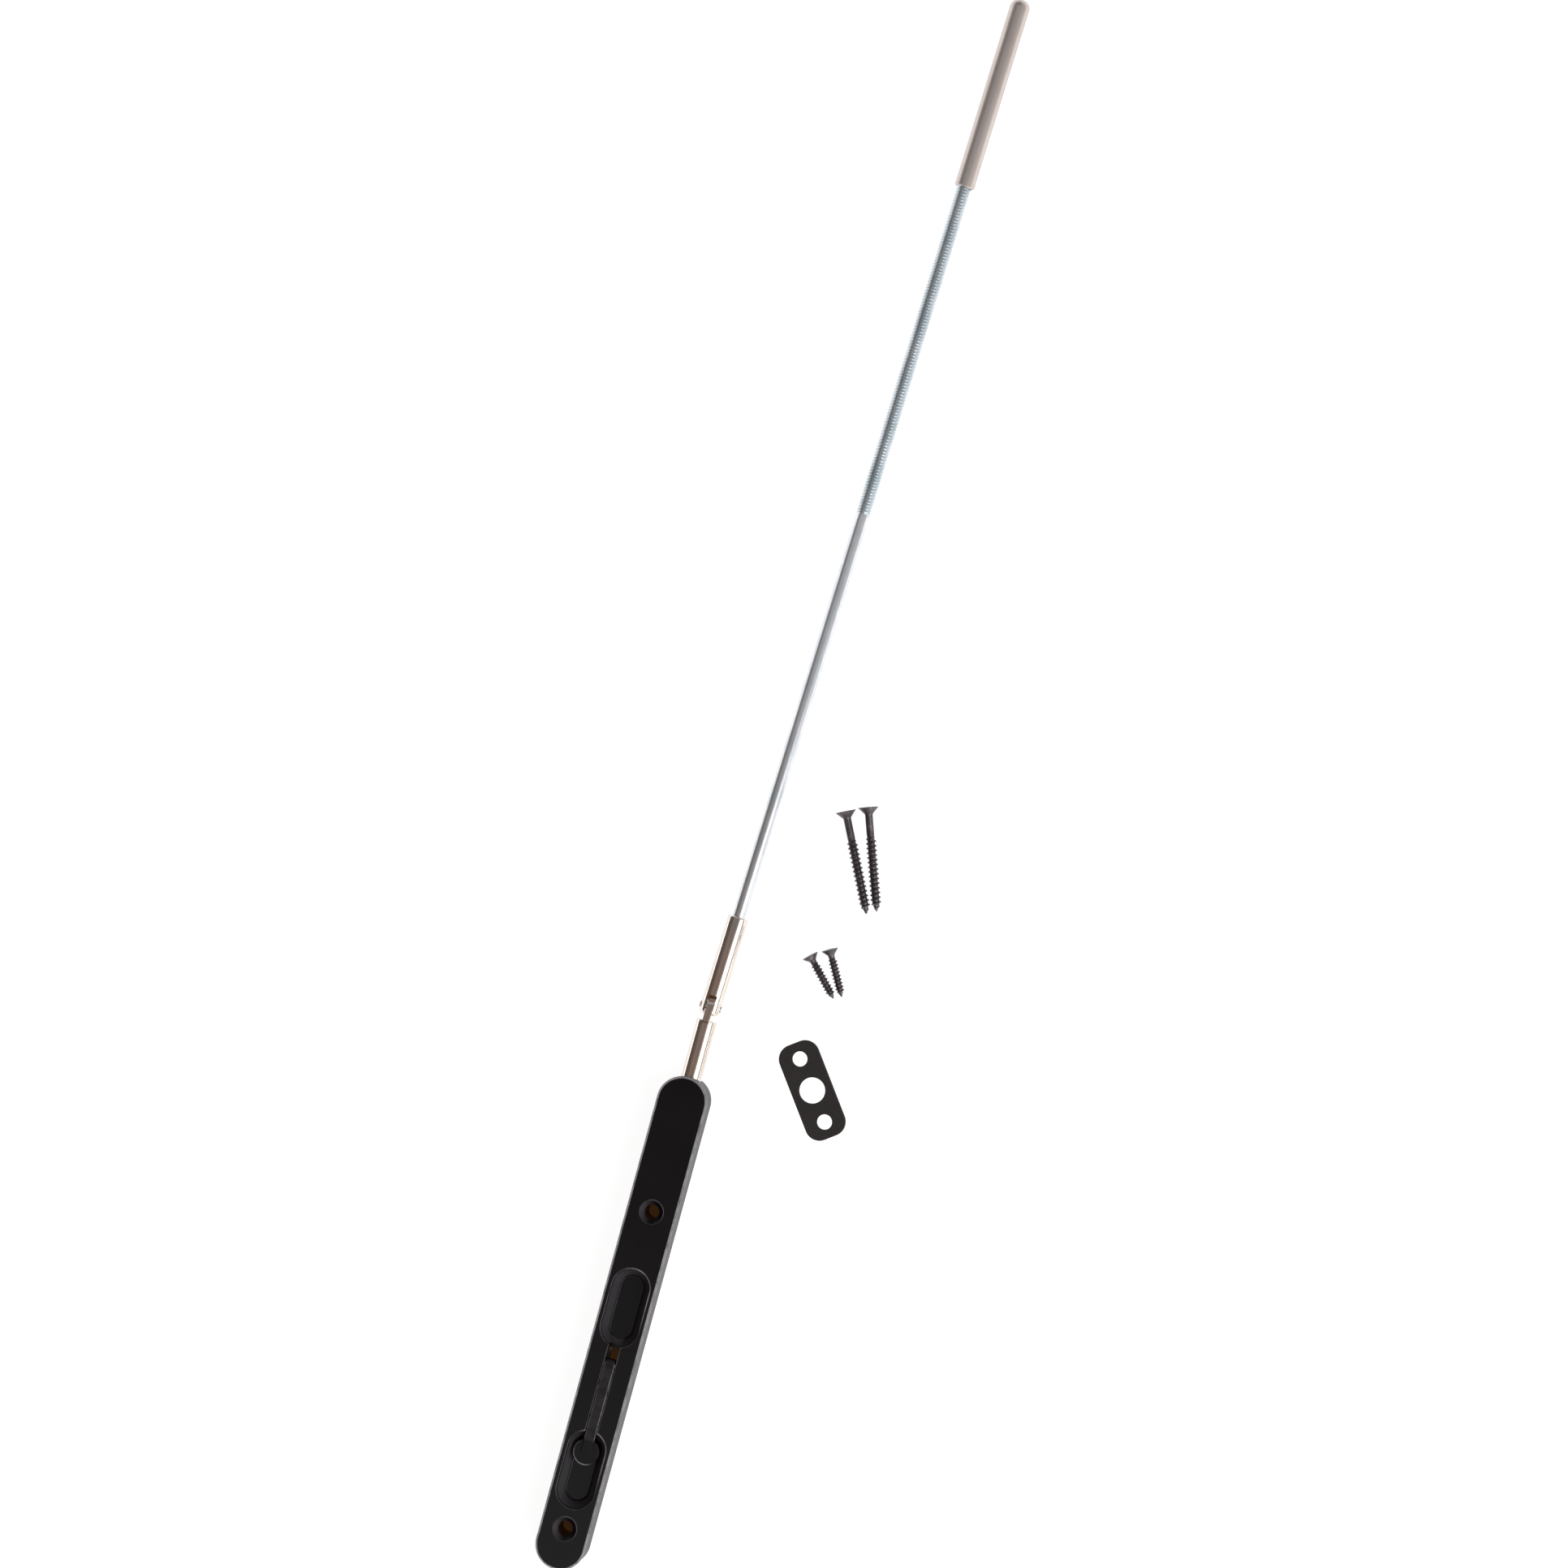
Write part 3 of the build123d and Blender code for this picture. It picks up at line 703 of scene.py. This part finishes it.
def boxShape(low, high):
    shape = bmesh.new()
    points = bmesh.ops.create_cube(shape, size=1)["verts"]
    bmesh.ops.scale(shape, verts=points, vec=[(b - a) * mm for a, b in zip(low, high)])
    bmesh.ops.translate(shape, verts=points, vec=[(a + b) / 2 * mm for a, b in zip(low, high)])
    return shape


def rodShape(radius, half, axis, along=0.0, steps=48):
    # a plain cylinder across the bolt, along X or Z
    shape = loopShape([(0, -half), (radius, -half), (radius, half), (0, half)], steps)
    turn = Matrix.Rotation(pi / 2, 4, "Z" if axis == "X" else "X")
    bmesh.ops.transform(shape, matrix=Matrix.Translation((0, along * mm, 0)) @ turn, verts=shape.verts)
    return shape


def onBolt(lean):
    return Matrix.Translation(pinPlace()) @ Matrix.Rotation(-lean, 4, "Z")


sleeveSize = {"radius": 4.25, "start": -3.45, "end": 38.05, "cheekRound": 1.8, "mouth": 0.6, "bore": 2.77,
              "boreFrom": 20.05, "slot": 1.75, "slotEnd": 4.8, "pinHole": 1.52}


def makeSleeve(size):
    radius, start, end, soft = size["radius"], size["start"], size["end"], size["cheekRound"]
    profile = [(0, start)] + corner(radius - soft, start + soft, soft, -90, 0)
    profile += corner(radius - size["mouth"], end - size["mouth"], size["mouth"], 0, 90, 5)
    profile += [(size["bore"] + 0.15, end), (size["bore"], end - 0.15), (size["bore"], size["boreFrom"]),
                (0, size["boreFrom"])]
    sleeve = loopShape(profile, 128)
    slot, far = size["slot"], radius + 1
    sleeve = cutAway(sleeve, boxShape((-slot, start - 1, -far), (slot, size["slotEnd"], far)))
    sleeve = cutAway(sleeve, rodShape(size["pinHole"], far, "X"))
    finishPiece([gather([sleeve], onBolt(rodLean))], "sleeve", "rod", "coupling_sleeve", 30)


stubSize = {"radius": 4.25, "shoulder": -5.8, "soft": 0.35, "tongue": 1.45, "tongueEnd": 4.2, "pinHole": 1.6,
            "strap": 1.5, "socket": 10.0, "rivetHole": 1.22, "rivets": (3.0, 7.2)}


def makeStub(size):
    low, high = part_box("bolt_stub")
    radius, shoulder, soft = size["radius"], size["shoulder"], size["soft"]
    start, end = (low.y - pinPlace().y) / mm, (high.y - pinPlace().y) / mm
    far = radius + 1
    stub = loopShape([(0, start), (radius, start)] + corner(radius - soft, shoulder - soft, soft, 0, 90, 5)
                     + [(0, shoulder)], 128)
    socketEnd, strap = start + size["socket"], size["strap"]
    stub = cutAway(stub, boxShape((-far, start - 1, -strap), (far, socketEnd, strap)))
    for along in size["rivets"]:
        stub = cutAway(stub, rodShape(size["rivetHole"], far, "Z", start + along))
    tongue = loopShape([(0, shoulder - 1), (radius, shoulder - 1), (radius, end), (0, end)], 128)
    for side in (-1, 1):
        near, wide = sorted((side * size["tongue"], side * far))
        tongue = cutAway(tongue, boxShape((near, shoulder - 2, -far), (wide, end + 1, far)))
    past = boxShape((-far, 0.0, -far), (far, end + 1, far))     # beyond the tongue's rounded end
    tongue = cutAway(tongue, cutAway(past, rodShape(size["tongueEnd"], far + 1, "X", 0, 96)))
    tongue = cutAway(tongue, rodShape(size["pinHole"], far, "X"))
    finishPiece([gather([stub, tongue], onBolt(0))], "boltStub", "bolt", "bolt_stub", 30, stubNickel)


tipSize = {"radius": 4.05, "start": 347.8, "end": 427.4, "nose": 3.6, "mouth": 0.5,
           "bore": 3.18, "boreEnd": 405.8}


def makeTip(size):
    radius, nose, mouth = size["radius"], size["nose"], size["mouth"]
    start, bore = size["start"], size["bore"]
    profile = [(0, size["boreEnd"]), (bore, size["boreEnd"]), (bore, start + 0.2), (bore + 0.2, start),
               (radius - mouth, start), (radius, start + mouth)]
    profile += corner(radius - nose, size["end"] - nose, nose, 0, 90, 12) + [(0, size["end"])]
    finishPiece([gather([loopShape(profile, 96)], onBolt(rodLean))], "nosedTip", "tip", "bolt_tip", 30)


pinSize = {"radius": 1.5, "half": 4.6, "soft": 0.25}


def makePin(size):
    radius, half, soft = size["radius"], size["half"], size["soft"]
    profile = [(0, -half)] + corner(radius - soft, soft - half, soft, -90, 0, 4)
    profile += corner(radius - soft, half - soft, soft, 0, 90, 4) + [(0, half)]
    pin = loopShape(profile, 40)
    place = onBolt(rodLean) @ Matrix.Rotation(pi / 2, 4, "Z")
    finishPiece([gather([pin], place)], "pinThrough", "rod", "knuckle_pin", 40)


makeSleeve(sleeveSize)
makeStub(stubSize)
makeTip(tipSize)
makePin(pinSize)
print("bright pieces made")


# carried-over nodes

replaced = {"face_screws", "strike_screws", "extension_rod", "coupling_sleeve", "bolt_stub", "bolt_tip",
            "knuckle_pin"}
for name, piece in nodes.items():
    if name not in replaced:
        piece.data.materials.clear()
        piece.data.materials.append(finishes[slotOf[name]])
print("finishes given to", len(nodes) - len(replaced), "nodes")


# studio

floorLook = {
    "half": 6,            # metres
    "sunk": 0.00006,      # just under the lowest piece
    "grey": 0.35,
    "glowNearShaded": 0.90,     # the floor's own light beside the bolt, kept low as painted shade, and out to the sides
    "glowFar": 2.6,
    "glowRun": (0.014, 0.22),     # metres to the side, from near to far
    "shadeCard": rgb(0.24, 0.115, 0.045),      # dark tan card under the case, seen through its holes: the surface's tan with painted shade
    # the card's orange glow colour and strength: painted light
    "cardPaintedTint": rgb(0.60, 0.26, 0.08),
    "cardPaintedGlow": 0.04,
    "slotShadow": 4.3,     # mm past the pin, the painted shadow under the sleeve's slot
}


def makeFloor(look):
    shape = bmesh.new()
    bmesh.ops.create_grid(shape, x_segments=1, y_segments=1, size=look["half"])
    bmesh.ops.translate(shape, verts=shape.verts, vec=(0, 0, -look["sunk"]))
    floor = toObject(toMesh(shape, "floor"), "floor")
    sheet = Finish("paperFloor")
    spots = sheet.spots()
    x, y, z = sheet.axes(spots)
    low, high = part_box("body_casting")
    # no floor glow under the case: a dark tan card there is painted shade, and its faint orange glow is
    # painted light
    inside = pillDistance(sheet, x, y, (low.y + high.y) / 2, high.y - low.y, high.x * 2)
    paintedShade = sheet.band(inside, 0.0010, 0.0020)
    # and a painted shadow under the sleeve's slot
    slotMiddle = y - (pinPlace().y + look["slotShadow"] * mm)
    slotShade = sheet.band((x * x + slotMiddle * slotMiddle) ** 0.5, 0.0022, 0.0030, 1, 0)
    paintedShade = sheet.put("ShaderNodeMath", {"operation": "MAXIMUM"}, {0: paintedShade, 1: slotShade})
    near, far = look["glowRun"]
    glow = sheet.band(sheet.size(x), near, far, look["glowNearShaded"], look["glowFar"])
    glow = glow * (1 - paintedShade) + paintedShade * look["cardPaintedGlow"]
    paper = sheet.tint(paintedShade, rgb(look["grey"], look["grey"], look["grey"]), look["shadeCard"])
    light = sheet.tint(paintedShade, rgb(1, 1, 1), look["cardPaintedTint"])
    fibres = sheet.noise(spots, 900, 3)
    relief = sheet.put("ShaderNodeBump", None, {"Strength": 0.05, "Distance": 0.00005, "Height": fibres})
    shade = sheet.put("ShaderNodeBsdfPrincipled", None, {
        "Base Color": paper, "Roughness": 0.8, "Specular IOR Level": 0.1, "Emission Color": light,
        "Emission Strength": glow, "Normal": relief})
    sheet.put("ShaderNodeOutputMaterial", None, {"Surface": shade})
    floor.data.materials.append(sheet.material)


# soft lights: fades are the lengths over which they ease to their least at the two ends, metres
panels = {
    "rightPanel": {"place": (0.60, -0.09, 0.52), "aim": (0.0, 0.03, 0.0), "size": (0.55, 1.04),
                   "glow": 4.0, "fadeLow": 0.1, "fadeHigh": 0.35},
    "leftPanel": {"place": (-0.85, 0.72, 0.16), "aim": (0.0, 0.6, 0.0), "size": (0.40, 0.90),
                  "glow": 0.75, "fadeLow": 0.35, "fadeHigh": 0.1, "least": 0.1},
    "footPanel": {"place": (-0.16, -0.60, 1.5), "aim": (-0.16, -0.60, 0.0), "size": (0.9, 1.1),
                  "glow": 1.0, "fadeLow": 0.1, "fadeHigh": 0.4, "least": 0.18},
    "headPanel": {"place": (-0.10, 0.86, 1.2), "aim": (-0.10, 0.86, 0.0), "size": (1.5, 1.1),
                  "glow": 0.46, "fadeLow": 0.3, "fadeHigh": 0.1, "least": 0.18,
                  "colour": rgb(0.96, 0.98, 1.0)},
}


def makePanel(name, place, aim, size, glow, fadeLow=0.0, fadeHigh=0.0, least=0.0,
              colour=rgb(1, 0.985, 0.965)):
    # a glowing sheet that faces aim and isn't seen by the camera
    shape = bmesh.new()
    bmesh.ops.create_grid(shape, x_segments=1, y_segments=1, size=0.5)
    bmesh.ops.scale(shape, verts=shape.verts, vec=(size[0], size[1], 1))
    way = (Vector(aim) - Vector(place)).normalized()
    along = Vector((0, 1, 0))
    side = along.cross(-way).normalized()
    turn = Matrix((side, (-way).cross(side), -way)).transposed().to_4x4()
    shape.transform(Matrix.Translation(place) @ turn @ Matrix.Rotation(pi, 4, "Y"))
    panel = toObject(toMesh(shape, name), name)
    sheet = Finish(name)
    x, y, z = sheet.axes(sheet.spots())
    low, high = place[1] - size[1] / 2, place[1] + size[1] / 2
    strength = sheet.band(y, low, low + fadeLow + 0.001) * sheet.band(y, high - fadeHigh - 0.001, high, 1, 0)
    strength = strength * (glow - least) + least
    glowing = sheet.put("ShaderNodeEmission", None, {"Color": colour, "Strength": strength})
    sheet.put("ShaderNodeOutputMaterial", None, {"Surface": glowing})
    panel.data.materials.append(sheet.material)
    panel.visible_camera = False
    panel.visible_shadow = False


def makeSky(strength):
    world = bpy.data.worlds.new("studio")
    bpy.context.scene.world = world
    world.use_nodes = True
    sheet = Sheet(world.node_tree)
    x, y, z = sheet.axes(sheet.put("ShaderNodeTexCoord", out="Generated"))
    angle = sheet.put("ShaderNodeMath", {"operation": "ARCTAN2"}, {0: x, 1: z}) / (2 * pi) + 0.5
    # degrees from straight up, towards the case's right side, with the light that comes from there
    stops = [(-180, 0.9, 0.9, 0.9), (-104, 0.8, 0.79, 0.78), (-92, 0.42, 0.40, 0.38),
             (-82, 0.11, 0.09, 0.08), (-64, 0.11, 0.085, 0.075), (-45, 0.16, 0.125, 0.11),
             (-22, 0.26, 0.20, 0.175), (0, 0.22, 0.165, 0.14), (14, 0.23, 0.175, 0.155),
             (26, 0.5, 0.46, 0.44), (84, 0.55, 0.52, 0.5), (98, 0.8, 0.78, 0.77), (180, 0.9, 0.9, 0.9)]
    ramp = [((turn / 360) + 0.5, (red, green, blue)) for turn, red, green, blue in stops]
    colour = sheet.put("ShaderNodeValToRGB", {"stops": ramp}, {0: angle})
    glow = sheet.put("ShaderNodeBackground", None, {"Color": colour, "Strength": strength})
    sheet.put("ShaderNodeOutputWorld", None, {"Surface": glow})


makeFloor(floorLook)
for name, setup in panels.items():
    makePanel(name, **setup)
makeSky(1.0)
bpy.context.scene.view_settings.view_transform = "Standard"
print("studio ready")
